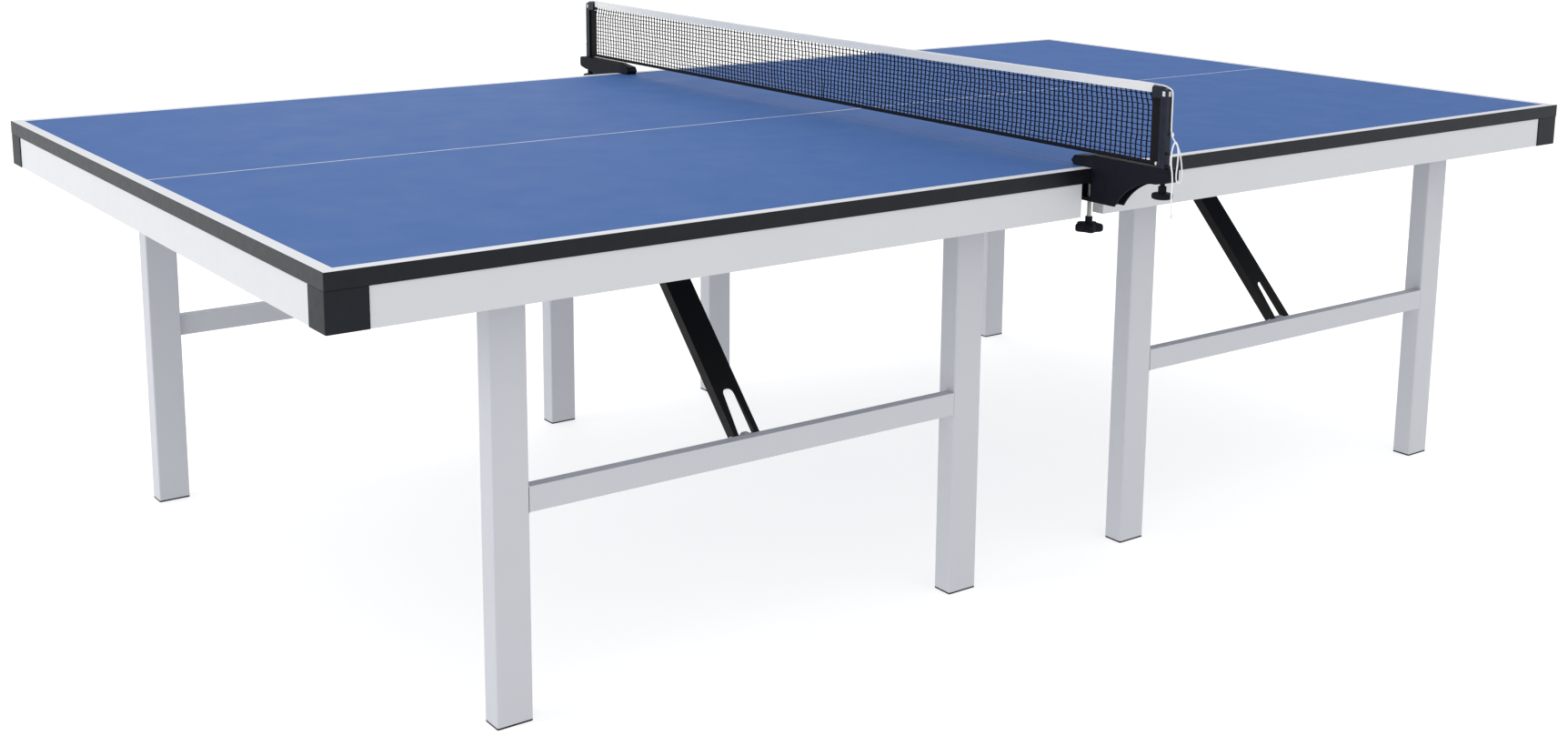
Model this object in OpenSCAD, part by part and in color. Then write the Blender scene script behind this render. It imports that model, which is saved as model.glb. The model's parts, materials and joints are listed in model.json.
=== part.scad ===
// Two-half table tennis table with four folding leg frames and a clamp-on net set.
// Millimetres. +X runs along the table, +Y across it, +Z up. The origin is on the floor
// under the middle of the net. The right half is the left half turned half a turn about Z.

/* [Table top] */
// Length of the whole table along X
table_l = 2740; // [2700:2:2780]
// Width of the table across Y
table_w = 1525; // [1500:1:1550]
// Height of the playing surface above the floor
table_h = 760; // [750:1:765]
// Thickness of the playing panel
panel_t = 25; // [22:1:28]
// Thickness of the plastic band around each panel's edge
band_t = 1.5; // [1:0.5:3]
// Gap between the two halves
joint_gap = 1; // [0.5:0.5:3]

/* [Frame under the top] */
// Height of the side and end rails
rail_h = 58; // [56:1:60]
// Thickness of every rail
rail_t = 25; // [20:1:30]
// Wall of the rail tube
rail_wall = 1.5; // [1:0.5:2.5]
// Distance of the side and end rails behind the panel's edge
rail_inset = 2; // [1:0.5:4]
// Length of a corner cap along the side
cap_side_l = 62; // [50:1:80]
// Length of a corner cap along the end
cap_end_l = 56; // [50:1:80]
// Distance from the middle of the table to where the rails begin
rail_start = 26; // [24:1:40]
// Height of the rail beside the joint
joint_rail_h = 40; // [38:1:44]

/* [Leg frames] */
// Width of a leg tube along X
leg_w = 60; // [56:1:64]
// Depth of a leg tube along Y
leg_d = 40; // [36:1:44]
// Wall of a leg tube
leg_wall = 2; // [1.5:0.5:3]
// Width of a leg frame over both legs
frame_w = 944; // [930:2:950]
// Distance of the legs' outer faces from the middle line
leg_out_y = 640; // [620:1:660]
// Centre of the near left and far right frames, from the middle of the table
frame_inner_x = 605; // [600:1:610]
// Centre of the far left and near right frames, from the middle of the table
frame_outer_x = 705; // [702:1:708]
// Height of the leg pivot above the floor
pivot_z = 705; // [704:1:706]
// Distance of the leg pivot inside the legs' outer faces
pivot_in = 28; // [26:1:30]
// Height of the crossbar
bar_h = 40; // [36:1:42]
// Depth of the crossbar
bar_d = 20; // [16:1:22]
// Height of the underside of the crossbar above the floor
bar_z = 328; // [320:1:334]

/* [Braces] */
// Lean of a brace from the vertical, in degrees
brace_lean = 43.65; // [43:0.05:44]
// Width of a brace channel
brace_w = 49; // [46:1:50]
// Depth of a brace channel
brace_d = 19; // [17:1:20]
// Sheet thickness of a brace
brace_t = 2.5; // [2:0.5:3]
// Height of the brace's lower pivot above the floor
brace_z = 355; // [353:1:357]
// Distance of the brace's lower pivot inside the legs' outer faces
brace_in = 38; // [37:1:39]
// Height of the roller's centre in its track
roller_z = 708; // [707:1:709]

/* [Net set] */
// Distance of a net post's outer face from the table's edge
post_out = 159.5; // [155:0.5:162]
// Height of a post's top above the playing surface
post_top = 151; // [146:1:153]
// Width of a post along X
post_w = 13; // [11:1:14]
// Depth of a post along Y
post_d = 14; // [12:1:16]
// Width of a clamp arm along X
arm_w = 25; // [22:1:28]
// Top of the net tape above the playing surface
tape_top = 158; // [152:1:160]
// Height of the white tape
tape_h = 15; // [12:1:18]
// Diameter of the tension cord
cord_d = 2.4; // [2:0.2:3]

/* [Hidden] */
$fn = 48;

blue = [0.22, 0.36, 0.63];
black = [0.10, 0.10, 0.11];
light_grey = [0.84, 0.85, 0.87];
steel = [0.70, 0.70, 0.68];
white = [0.95, 0.95, 0.95];

half_l = table_l / 2;
half_w = table_w / 2;
panel_z = table_h - panel_t;
rail_z = panel_z - rail_h;
rail_y = half_w - rail_inset;
rail_x = half_l - rail_inset;
side_rail_end = half_l - cap_side_l;
joint_rail_z = panel_z - joint_rail_h;

pivot_y = leg_out_y - pivot_in;
leg_x = (frame_w - leg_w) / 2;
leg_y = leg_out_y - leg_d / 2;
foot_cap_t = 3;
leg_top = pivot_z + 22;
leg_round = 3;
pivot_r = 5;
running = 0.05;

brace_y = leg_out_y - brace_in;
brace_l = (roller_z - brace_z) / cos(brace_lean);
brace_pin_r = 4;
roller_r = 8;
roller_w = 2.4;
track_in = brace_w + 7;
track_t = 2;
track_z = roller_z - roller_r;
track_start = 300;
track_end = -240;

hinge_gap = leg_w / 2 + 0.5;
hinge_ear = 4;
hinge_plate = 3;
hinge_plate_w = hinge_gap + hinge_ear + 22;
screw_hole_r = 2.6;
shank_r = 2.5;
shank_in = 13;
screw_head_r = 4.6;
screw_head_t = 2.2;

arm_x = 5.5;
arm_top = table_h + 22;
clamp_bottom = table_h - 57.5;
clamp_out = half_w + 170;
jaw_in = half_w - 30;
jaw_wall = 4.5;
arch_r = 104.4;
arch_hollow = 10;
arch_rib = 3;
screw_y = half_w - 14.5;
screw_r = 4;
pad_t = 4;
pad_r = 8.2;
knob_r = 25;
knob_t = 14;
knob_z = 648;
hub_r = 6.25;
hub_h = 12;

post_y = half_w + post_out - post_d / 2;
post_head_l = 19;
post_head_z = table_h + tape_top - 22.5;
post_head_top = table_h + tape_top - 3.5;
wheel_r = 17;
wheel_t = 9.5;
wheel_z = 731.5;
collar_r = 6.8;
collar_h = 11;
stem_top = 795;
net_z = arm_top + 2;
net_t = 1.6;
tape_t = 4;
cleat_y = half_w + post_out + 8;

latch_y = 300;
latch_x = rail_start + rail_t / 2;
latch_z = joint_rail_z - 7;
latch_t = 4;

// The tension cord leaves the tape, crosses the post's head, runs down the post's outer face,
// makes one hanging bow and ends in a tail. Places are (x, distance from the middle line, z).
cord_start = [
    [0, 888.7, 916.2], [0, 893, 916.2], [0, 899, 916], [0.2, 905, 915.9], [1, 911, 915],
    [2, 916, 913.4], [3, 920, 911.6], [4, 922.6, 909], [4.6, 923.6, 905], [5, 923.6, 895],
    [5, 923.6, 878], [5, 923.6, 860], [5, 924, 845]
];
cord_bow = [
    [5, 926, 836], [6.5, 930.5, 828], [9.5, 935, 819], [13, 937, 808], [17, 937, 794],
    [19.5, 937, 779], [19, 937, 767], [14, 937, 759.5], [8, 937, 763], [6.5, 937, 774],
    [8.5, 937, 790], [9, 937, 806], [7, 937, 820], [1.5, 937, 827.5], [-4, 937, 820],
    [-7, 937, 806], [-6.5, 937, 792], [-3, 937, 776], [-1.5, 937, 758], [-2.5, 937, 740],
    [-1.5, 937, 722], [0, 937, 705]
];
cord_short_end = [
    [4, 925.5, 833], [2, 928.5, 824], [0.3, 930, 816], [0, 930, 809.6]
];

// ---------- placing ----------

// Draws its child for the left half, or turned half a turn for the right half.
module on_half(right = false) {
    rotate([0, 0, right ? 180 : 0]) children();
}

// Draws a near-side leg frame part for one of the four frames.
module on_frame(right = false, far = false) {
    inner = right == far;
    centre = inner ? -frame_inner_x : frame_outer_x;
    rotate([0, 0, far ? 180 : 0]) translate([centre, 0, 0]) children();
}

// Draws a near-side net part, or turned half a turn for the far side.
module on_side(far = false) {
    rotate([0, 0, far ? 180 : 0]) children();
}

// ---------- shapes used more than once ----------

module round_rect(w, d, r) {
    union() {
        square([w - 2 * r, d], center = true);
        square([w, d - 2 * r], center = true);
        for (x = [-1, 1], y = [-1, 1])
            translate([x * (w / 2 - r), y * (d / 2 - r)]) circle(r = r);
    }
}

// A box given by its low and high corners.
module box(low, high) {
    translate(low) cube(high - low);
}

// A box-section tube along X, open at both ends.
module tube_x(low, high, wall) {
    difference() {
        box(low, high);
        box([low.x - 1, low.y + wall, low.z + wall], [high.x + 1, high.y - wall, high.z - wall]);
    }
}

// A box-section tube along Y, open at both ends.
module tube_y(low, high, wall) {
    difference() {
        box(low, high);
        box([low.x + wall, low.y - 1, low.z + wall], [high.x - wall, high.y + 1, high.z - wall]);
    }
}

module rod_x(x0, x1, y, z, r) {
    translate([x0, y, z]) rotate([0, 90, 0]) cylinder(r = r, h = x1 - x0);
}

// Puts its child at each of a hinge bracket's four screws, on the underside of the panel.
module at_hinge_screws() {
    for (x = [-1, 1], y = [-11, 11])
        translate([x * (hinge_plate_w - 10), y - pivot_y, panel_z]) children();
}

// Puts its child at each of a track's four screws, on the underside of the panel.
module at_track_screws() {
    for (x = [-14, 14], y = [-track_start + 30, -track_end - 30])
        translate([x, y, panel_z]) children();
}

module hex_x(x0, x1, y, z, r) {
    translate([x0, y, z]) rotate([0, 90, 0]) cylinder(r = r, h = x1 - x0, $fn = 6);
}

// Sweeps a round tube of n sides along points, as one closed solid.
module swept_tube(points, r, n) {
    count = len(points);
    ahead = [for (i = [0:count - 1])
        let (d = points[min(i + 1, count - 1)] - points[max(i - 1, 0)]) d / norm(d)];
    side = [for (t = ahead)
        let (ref = abs(t.x) < 0.9 ? [1, 0, 0] : [0, 1, 0], s = cross(t, ref)) s / norm(s)];
    ring = [for (i = [0:count - 1], k = [0:n - 1])
        let (a = 360 * k / n, u = side[i], v = cross(ahead[i], u))
        points[i] + r * (cos(a) * u + sin(a) * v)];
    walls = [for (i = [0:count - 2], k = [0:n - 1])
        let (a = i * n + k, b = i * n + (k + 1) % n) [a, b, b + n, a + n]];
    first = [for (k = [n - 1:-1:0]) k];
    last = [for (k = [0:n - 1]) (count - 1) * n + k];
    polyhedron(points = ring, faces = concat([first], walls, [last]));
}

// Puts its child at every screw of one half.
module at_every_screw(right) {
    for (far = [false, true])
        on_frame(right, far) {
            at_track_screws() children();
            for (s = [-1, 1])
                translate([s * leg_x, 0, 0]) at_hinge_screws() children();
        }
}

// ---------- table top ----------

// The board of one half, drilled from below for the screws that hold the brackets and tracks.
module top_panel(right) {
    color(blue) difference() {
        on_half(right)
            box([-half_l + band_t, -half_w + band_t, panel_z],
                [-joint_gap / 2 - band_t, half_w - band_t, table_h]);
        at_every_screw(right) translate([0, 0, -1]) cylinder(r = shank_r + running, h = shank_in + 2);
    }
}

// Four strips glued round the panel's edge, with a hairline joint at each corner.
module edge_band() {
    hairline = 0.05;
    end = half_w - band_t - hairline;
    color(black) {
        for (s = [-1, 1])
            translate([0, s * (half_w - band_t / 2), 0])
                box([-half_l, -band_t / 2, panel_z], [-joint_gap / 2, band_t / 2, table_h]);
        for (x = [-half_l, -joint_gap / 2 - band_t])
            box([x, -end, panel_z], [x + band_t, end, table_h]);
    }
}

// ---------- frame under the top ----------

// The side rails are box tube, closed beside the joint and open inside the corner caps.
module side_rails() {
    color(light_grey)
        for (s = [-1, 1])
            translate([0, s * (rail_y - rail_t / 2), 0])
                difference() {
                    box([-side_rail_end, -rail_t / 2, rail_z], [-rail_start, rail_t / 2, panel_z]);
                    box([-side_rail_end - 1, -rail_t / 2 + rail_wall, rail_z + rail_wall],
                        [-rail_start - rail_wall, rail_t / 2 - rail_wall, panel_z - rail_wall]);
                }
}

module end_rail() {
    y = half_w - cap_end_l;
    color(light_grey)
        tube_y([-rail_x, -y, rail_z], [-rail_x + rail_t, y, panel_z], rail_wall);
}

module joint_rail() {
    y = rail_y - rail_t;
    color(light_grey)
        tube_y([-rail_start - rail_t, -y, joint_rail_z], [-rail_start, y, panel_z], rail_wall);
}

// One L-shaped cap at the near corner of the left half.
module corner_cap() {
    outer_x = -half_l;
    outer_y = -half_w;
    thick = rail_inset + rail_t;
    r = 3;
    difference() {
        translate([outer_x, outer_y, rail_z]) linear_extrude(rail_h) union() {
            translate([r, r]) circle(r = r);
            translate([r, 0]) square([cap_side_l - r, thick]);
            translate([0, r]) square([thick, cap_end_l - r]);
        }
        // open pockets at the back lighten the moulding
        box([outer_x + thick + 4, outer_y + 3, rail_z + 3],
            [outer_x + cap_side_l - 4, outer_y + thick + 1, panel_z - 3]);
    }
}

module corner_caps() {
    color(black)
        for (right = [false, true], s = [0, 1])
            on_half(right) mirror([0, s, 0]) corner_cap();
}

// ---------- leg frames ----------

// A two-eared bracket over one leg's top, with its stop for the standing leg.
module hinge_bracket() {
    half_ear = 20;
    stop_y = leg_d - pivot_in + 0.4;
    stop_z = pivot_z + 13.5;
    difference() {
        translate([0, -pivot_y, 0]) {
            for (s = [-1, 1])
                translate([s * (hinge_gap + hinge_ear / 2), 0, 0]) {
                    box([-hinge_ear / 2, -half_ear, pivot_z], [hinge_ear / 2, half_ear, panel_z]);
                    rod_x(-hinge_ear / 2, hinge_ear / 2, 0, pivot_z, 14);
                }
            box([-hinge_plate_w, -half_ear, panel_z - hinge_plate], [hinge_plate_w, half_ear, panel_z]);
            box([-hinge_gap - 1, stop_y, stop_z], [hinge_gap + 1, half_ear, panel_z]);
        }
        rod_x(-hinge_plate_w, hinge_plate_w, -pivot_y, pivot_z, pivot_r + 0.02);
        at_hinge_screws() translate([0, 0, -hinge_plate - 1]) cylinder(r = screw_hole_r, h = hinge_plate + 2);
    }
}

module hinge_brackets(right) {
    color(black)
        for (far = [false, true])
            on_frame(right, far)
                for (s = [-1, 1])
                    translate([s * leg_x, 0, 0]) hinge_bracket();
}

module leg_pivot_bolt() {
    reach = leg_w / 2 + 5;
    translate([0, -pivot_y, 0]) {
        rod_x(-reach - 1, reach + 4, 0, pivot_z, pivot_r);
        hex_x(-reach - 5, -reach, 0, pivot_z, 8.5);
        hex_x(reach, reach + 5, 0, pivot_z, 8.5);
    }
}

module leg_pivot_bolts() {
    color(steel)
        for (right = [false, true], far = [false, true])
            on_frame(right, far)
                for (s = [-1, 1])
                    translate([s * leg_x, 0, 0]) leg_pivot_bolt();
}

module leg() {
    difference() {
        translate([0, -leg_y, foot_cap_t]) linear_extrude(leg_top - foot_cap_t)
            round_rect(leg_w, leg_d, leg_round);
        translate([0, -leg_y, foot_cap_t - 1]) linear_extrude(leg_top + 2)
            square([leg_w - 2 * leg_wall, leg_d - 2 * leg_wall], center = true);
        rod_x(-leg_w, leg_w, -pivot_y, pivot_z, pivot_r + running);
    }
}

module legs(right, far) {
    color(light_grey)
        on_frame(right, far)
            for (s = [-1, 1])
                translate([s * leg_x, 0, 0]) leg();
}

// A plastic foot: a plate under the tube and a ribbed plug inside it.
module foot_cap() {
    plug_w = leg_w - 2 * leg_wall - 0.4;
    plug_d = leg_d - 2 * leg_wall - 0.4;
    translate([0, -leg_y, 0]) {
        linear_extrude(foot_cap_t) round_rect(leg_w, leg_d, leg_round);
        translate([0, 0, foot_cap_t]) linear_extrude(22) difference() {
            square([plug_w, plug_d], center = true);
            square([plug_w - 8, plug_d - 8], center = true);
        }
    }
}

module foot_caps(right, far) {
    color(black)
        on_frame(right, far)
            for (s = [-1, 1])
                translate([s * leg_x, 0, 0]) foot_cap();
}

// The crossbar is welded between the legs and carries the brace's lug.
module crossbar(right, far) {
    x = frame_w / 2 - leg_w;
    y0 = -leg_out_y;
    lug_t = 8;
    lug_r = 10;
    color(light_grey) on_frame(right, far) difference() {
        union() {
            tube_x([-x, y0, bar_z], [x, y0 + bar_d, bar_z + bar_h], 1.5);
            box([-lug_t / 2, y0 + bar_d, brace_z - lug_r], [lug_t / 2, -brace_y, brace_z + lug_r]);
            rod_x(-lug_t / 2, lug_t / 2, -brace_y, brace_z, lug_r);
        }
        rod_x(-lug_t, lug_t, -brace_y, brace_z, brace_pin_r + 0.02);
    }
}

// ---------- braces ----------

// Stands a part along the brace: +Z runs up the brace and -Y is the outside of its web.
module along_brace() {
    translate([0, -brace_y, brace_z]) rotate([-brace_lean, 0, 0]) children();
}

// A channel whose web opens into a fork above the lower pivot.
module brace_channel() {
    half = brace_w / 2;
    depth = brace_d / 2;
    fork_top = 77;
    fork_r = 10;
    fork_w = 17;
    difference() {
        union() {
            for (s = [-1, 1])
                translate([s * (half - brace_t / 2), 0, 0]) {
                    box([-brace_t / 2, -depth, 0], [brace_t / 2, depth, brace_l]);
                    rod_x(-brace_t / 2, brace_t / 2, 0, 0, depth);
                    rod_x(-brace_t / 2, brace_t / 2, 0, brace_l, depth);
                }
            box([-half, -depth, -2], [half, -depth + brace_t, brace_l]);
        }
        for (z = [0, brace_l])
            rod_x(-half - 1, half + 1, 0, z, brace_pin_r + (z == 0 ? running : 0.02));
        translate([0, -depth - 1, 0]) rotate([-90, 0, 0]) linear_extrude(brace_t + 2) {
            translate([0, -fork_top]) circle(r = fork_r);
            polygon([[-fork_r, -fork_top], [fork_r, -fork_top], [fork_w, 12], [-fork_w, 12]]);
        }
    }
}

module brace(right, far) {
    color(black) on_frame(right, far) along_brace() brace_channel();
}

// The lower pivot: a pin with a flat head and nut, and two spacers beside the lug.
module brace_pin(right, far) {
    half = brace_w / 2;
    color(steel) on_frame(right, far) translate([0, -brace_y, brace_z]) {
        rod_x(-half - 2.8, half + 2.8, 0, 0, brace_pin_r);
        for (s = [-1, 1]) {
            translate([s * (half + 1.6), 0, 0]) hex_x(-1.2, 1.2, 0, 0, 7);
            translate([s * 13, 0, 0]) rod_x(-8.7, 8.7, 0, 0, 6);
        }
    }
}

// The upper axle and its two rollers, which run in the track.
module brace_rollers(right, far) {
    half = brace_w / 2;
    color(light_grey) on_frame(right, far) along_brace() {
        rod_x(-half - 2.8, half + 2.8, 0, brace_l, brace_pin_r);
        for (s = [-1, 1])
            translate([s * (half + 0.4 + roller_w / 2), 0, 0])
                rod_x(-roller_w / 2, roller_w / 2, 0, brace_l, roller_r);
    }
}

// A track open downwards, which takes the rollers and the folded brace.
module brace_track() {
    half = track_in / 2 + track_t;
    difference() {
        box([-half, -track_start, track_z], [half, -track_end, panel_z]);
        box([-half + track_t, -track_start + track_t, track_z - 1],
            [half - track_t, -track_end - track_t, panel_z - track_t]);
        at_track_screws() translate([0, 0, -track_t - 1]) cylinder(r = screw_hole_r, h = track_t + 2);
    }
}

module brace_tracks(right) {
    color(black)
        for (far = [false, true])
            on_frame(right, far) brace_track();
}

// A pan-head wood screw that holds a plate of the given thickness under the panel.
module panel_screw(plate) {
    translate([0, 0, -plate - screw_head_t]) cylinder(r = screw_head_r, h = screw_head_t);
    translate([0, 0, -plate - screw_head_t / 2]) cylinder(r = shank_r, h = plate + screw_head_t / 2 + shank_in);
}

module panel_screws() {
    color(steel)
        for (right = [false, true], far = [false, true])
            on_frame(right, far) {
                at_track_screws() panel_screw(track_t);
                for (s = [-1, 1])
                    translate([s * leg_x, 0, 0]) at_hinge_screws() panel_screw(hinge_plate);
            }
}

// ---------- latches between the halves ----------

// A pivot pin on the left joint rail and a hook stud on the right one.
module latch_pair() {
    for (s = [-1, 1])
        translate([s * latch_x, -latch_y, 0]) {
            translate([0, 0, latch_z - 5]) cylinder(r = 4, h = joint_rail_z - latch_z + 5);
            translate([0, 0, latch_z - 7]) cylinder(r = 7, h = 2.5);
            translate([0, 0, joint_rail_z - 2]) cylinder(r = 9, h = 2);
        }
}

module latch_studs() {
    color(steel)
        for (far = [false, true])
            on_side(far) latch_pair();
}

// A flat hook that swings about the pin and holds the stud from its open side.
module latch_hook(far) {
    slot = 11;
    color(steel) on_side(far)
        translate([-latch_x, -latch_y, latch_z - 3.5]) linear_extrude(latch_t) difference() {
            union() {
                circle(r = 13);
                translate([0, -13]) square([2 * latch_x, 26]);
                translate([2 * latch_x, 0]) circle(r = 13);
                translate([2 * latch_x - 8, 0]) square([16, 34]);
                translate([2 * latch_x, 34]) circle(r = 8);
            }
            circle(r = 4 + running);
            translate([2 * latch_x - 0.5, 0]) circle(r = slot / 2);
            translate([2 * latch_x - 0.5 - slot / 2, -20]) square([slot, 20]);
        }
}

// ---------- net set ----------

// The clamp's side outline, as (distance from the middle line, z).
module clamp_outline() {
    difference() {
        polygon([
            [half_w - 43, table_h], [half_w - 49, table_h + 8], [half_w - 42, table_h + 17],
            [half_w - 12, arm_top - 2], [half_w, arm_top], [clamp_out - 3, arm_top],
            [clamp_out, arm_top - 3], [clamp_out, table_h + 3], [clamp_out - 4, table_h - 1],
            [clamp_out - 36, table_h - 8], [half_w + 58, clamp_bottom], [jaw_in, clamp_bottom],
            [jaw_in, panel_z - 2], [half_w + 1, panel_z - 2], [half_w + 1, table_h]
        ]);
        clamp_arch(arch_r);
    }
}

// The round arch under the arm.
module clamp_arch(r) {
    translate([clamp_out - 26, table_h - 6 - arch_r]) circle(r = r, $fn = 96);
}

// Turns an outline drawn as (distance, z) into a solid w wide across X, on the near side.
module across_x(x0, w) {
    translate([x0, 0, 0]) rotate([0, 0, -90]) rotate([90, 0, 0]) linear_extrude(w) children();
}

module clamp(far) {
    x0 = arm_x - arm_w / 2;
    wall = 4;
    plate = 6.5;
    pocket = 0.3;
    color(black) on_side(far) difference() {
        across_x(x0 + arm_w, arm_w) clamp_outline();
        // open window beside the screw
        box([x0 - 1, -half_w - 1, clamp_bottom + plate], [x0 + arm_w - wall, -jaw_in - jaw_wall, panel_z + 1]);
        // the moulding is hollow over its arch, between two ribs
        across_x(x0 + arm_w - arch_rib, arm_w - 2 * arch_rib) intersection() {
            clamp_arch(arch_r + arch_hollow);
            translate([half_w + 12, clamp_bottom - 1])
                square([clamp_out - half_w - 52, arm_top - clamp_bottom - 8]);
        }
        translate([arm_x, -screw_y, clamp_bottom - 1]) cylinder(r = screw_r + running, h = plate + 2);
        // guide pocket of the post and the wheel's bore
        box([-post_w / 2 + 1.5 - pocket, -post_y - post_d / 2 + 1.5 - pocket, arm_top - 14],
            [post_w / 2 - 1.5 + pocket, -post_y + post_d / 2 - 1.5 + pocket, arm_top + 1]);
        translate([0, -post_y, wheel_z]) cylinder(r = screw_r + running, h = arm_top - wheel_z);
    }
}

module clamp_pad(far) {
    color(black) on_side(far) translate([arm_x, -screw_y, panel_z - pad_t]) difference() {
        cylinder(r = pad_r, h = pad_t);
        translate([0, 0, -1]) cylinder(r = 2.5 + running, h = 3.5);
    }
}

module clamp_screw(far) {
    color(steel) on_side(far) translate([arm_x, -screw_y, 0]) {
        translate([0, 0, knob_z + knob_t + hub_h - 8])
            cylinder(r = screw_r, h = panel_z - pad_t - 0.1 - (knob_z + knob_t + hub_h - 8));
        translate([0, 0, panel_z - pad_t - 1]) cylinder(r = 2.5, h = 3);
    }
}

// A five-lobed hand knob with a hub that takes the screw.
module clamp_knob(far) {
    lobes = 5;
    lobe_r = 9;
    top = knob_z + knob_t + hub_h;
    color(black) on_side(far) translate([arm_x, -screw_y, 0]) difference() {
        union() {
            translate([0, 0, knob_z]) cylinder(r = 15, h = knob_t);
            for (i = [0:lobes - 1])
                rotate([0, 0, 20 + 360 * i / lobes]) translate([knob_r - lobe_r, 0, knob_z + 1])
                    cylinder(r = lobe_r, h = knob_t - 2);
            translate([0, 0, knob_z]) cylinder(r = hub_r, h = knob_t + hub_h);
        }
        translate([0, 0, top - 8]) cylinder(r = screw_r + 0.02, h = 9);
    }
}

// The post's side outline, as (distance from the middle line, z), with its head to the net.
module post_outline() {
    out = post_y + post_d / 2;
    inner = post_y - post_d / 2;
    top = table_h + post_top;
    r = 5;
    r_head = 4;
    head_in = inner - post_head_l;
    union() {
        translate([inner, arm_top]) square([post_d, top - r - arm_top]);
        translate([inner, top - r]) square([post_d - r, r]);
        translate([out - r, top - r]) circle(r = r);
        translate([head_in, post_head_z]) square([post_head_l + 1, post_head_top - post_head_z - r_head]);
        translate([head_in + r_head, post_head_top - r_head]) square([post_head_l + 1 - 2 * r_head, r_head]);
        for (y = [head_in + r_head, inner + 1 - r_head])
            translate([y, post_head_top - r_head]) circle(r = r_head);
    }
}

module post(far) {
    foot_w = post_w / 2 - 1.5;
    foot_d = post_d / 2 - 1.5;
    out = post_y + post_d / 2;
    color(black) on_side(far) difference() {
        union() {
            across_x(post_w / 2, post_w) post_outline();
            box([-foot_w, -post_y - foot_d, arm_top - 13], [foot_w, -post_y + foot_d, arm_top]);
            for (z = [arm_top + 3, arm_top + 23])
                translate([0, 0, z]) {
                    box([-2, -cleat_y, 0], [2, -out, 3]);
                    translate([0, -cleat_y, 0]) cylinder(r = 2, h = 3);
                }
        }
        translate([0, -post_y, arm_top - 14]) cylinder(r = screw_r + running, h = stem_top + 6 - arm_top + 14);
        translate([0, -cleat_y, arm_top + 2]) cylinder(r = 1.22, h = 30);
    }
}

// A ribbed steel stem on the post's outer face, where the cord is made fast.
module cord_cleat(far) {
    z0 = arm_top + 6.1;
    h = 16.8;
    ribs = 6;
    color(steel) on_side(far) translate([0, -cleat_y, 0]) {
        translate([0, 0, arm_top + 3]) cylinder(r = 1.2, h = 23);
        translate([0, 0, z0]) cylinder(r = 1.8, h = h);
        for (i = [0:ribs - 1])
            translate([0, 0, z0 + h * (i + 0.25) / ribs]) cylinder(r = 2.5, h = h / ribs / 2);
    }
}

// The thumb wheel and its collar under the arm, with the stem that lifts the post.
module height_wheel(far) {
    r = 3;
    color(black) on_side(far) translate([0, -post_y, 0]) {
        translate([0, 0, wheel_z]) rotate_extrude() union() {
            square([wheel_r - r, wheel_t]);
            translate([0, r]) square([wheel_r, wheel_t - 2 * r]);
            for (z = [r, wheel_t - r])
                translate([wheel_r - r, z]) circle(r = r);
        }
        translate([0, 0, wheel_z + wheel_t - 1]) cylinder(r = collar_r, h = collar_h + 1);
        translate([0, 0, wheel_z + wheel_t - 1]) cylinder(r = screw_r, h = stem_top - wheel_z - wheel_t + 1);
    }
}

module net() {
    y = post_y - post_d / 2 - 0.4;
    y_head = y - post_head_l;
    color(black) {
        box([-net_t / 2, -y, net_z], [net_t / 2, y, post_head_z - 0.5]);
        box([-net_t / 2, -y_head, post_head_z - 0.5], [net_t / 2, y_head, table_h + tape_top - tape_h]);
    }
}

module net_tape() {
    y = post_y - post_d / 2 - post_head_l - 0.4;
    color(white)
        box([-tape_t / 2, -y, table_h + tape_top - tape_h], [tape_t / 2, y, table_h + tape_top]);
}

module cord(far, route) {
    color(white) on_side(far)
        swept_tube([for (p = route) [p.x, -p.y, p.z]], cord_d / 2, 8);
}

// ---------- drawing ----------

top_panel(false);  // top_left
top_panel(true);  // top_right
on_half(false) edge_band();  // edge_band_left
on_half(true) edge_band();  // edge_band_right
on_half(false) side_rails();  // side_rails_left
on_half(true) side_rails();  // side_rails_right
for (right = [false, true]) on_half(right) end_rail();  // end_rails
for (right = [false, true]) on_half(right) joint_rail();  // joint_rails
corner_caps();
hinge_brackets(false);  // hinge_brackets_left
hinge_brackets(true);  // hinge_brackets_right
leg_pivot_bolts();
brace_tracks(false);  // brace_tracks_left
brace_tracks(true);  // brace_tracks_right
panel_screws();
latch_studs();
latch_hook(false);  // latch_hook_near
latch_hook(true);  // latch_hook_far
legs(false, false);  // legs_left_near
legs(false, true);  // legs_left_far
legs(true, false);  // legs_right_near
legs(true, true);  // legs_right_far
crossbar(false, false);  // crossbar_left_near
crossbar(false, true);  // crossbar_left_far
crossbar(true, false);  // crossbar_right_near
crossbar(true, true);  // crossbar_right_far
foot_caps(false, false);  // foot_caps_left_near
foot_caps(false, true);  // foot_caps_left_far
foot_caps(true, false);  // foot_caps_right_near
foot_caps(true, true);  // foot_caps_right_far
brace(false, false);  // brace_left_near
brace(false, true);  // brace_left_far
brace(true, false);  // brace_right_near
brace(true, true);  // brace_right_far
brace_pin(false, false);  // brace_pin_left_near
brace_pin(false, true);  // brace_pin_left_far
brace_pin(true, false);  // brace_pin_right_near
brace_pin(true, true);  // brace_pin_right_far
brace_rollers(false, false);  // brace_rollers_left_near
brace_rollers(false, true);  // brace_rollers_left_far
brace_rollers(true, false);  // brace_rollers_right_near
brace_rollers(true, true);  // brace_rollers_right_far
clamp(false);  // clamp_near
clamp(true);  // clamp_far
clamp_pad(false);  // clamp_pad_near
clamp_pad(true);  // clamp_pad_far
clamp_screw(false);  // clamp_screw_near
clamp_screw(true);  // clamp_screw_far
clamp_knob(false);  // clamp_knob_near
clamp_knob(true);  // clamp_knob_far
post(false);  // post_near
post(true);  // post_far
height_wheel(false);  // height_wheel_near
height_wheel(true);  // height_wheel_far
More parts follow.
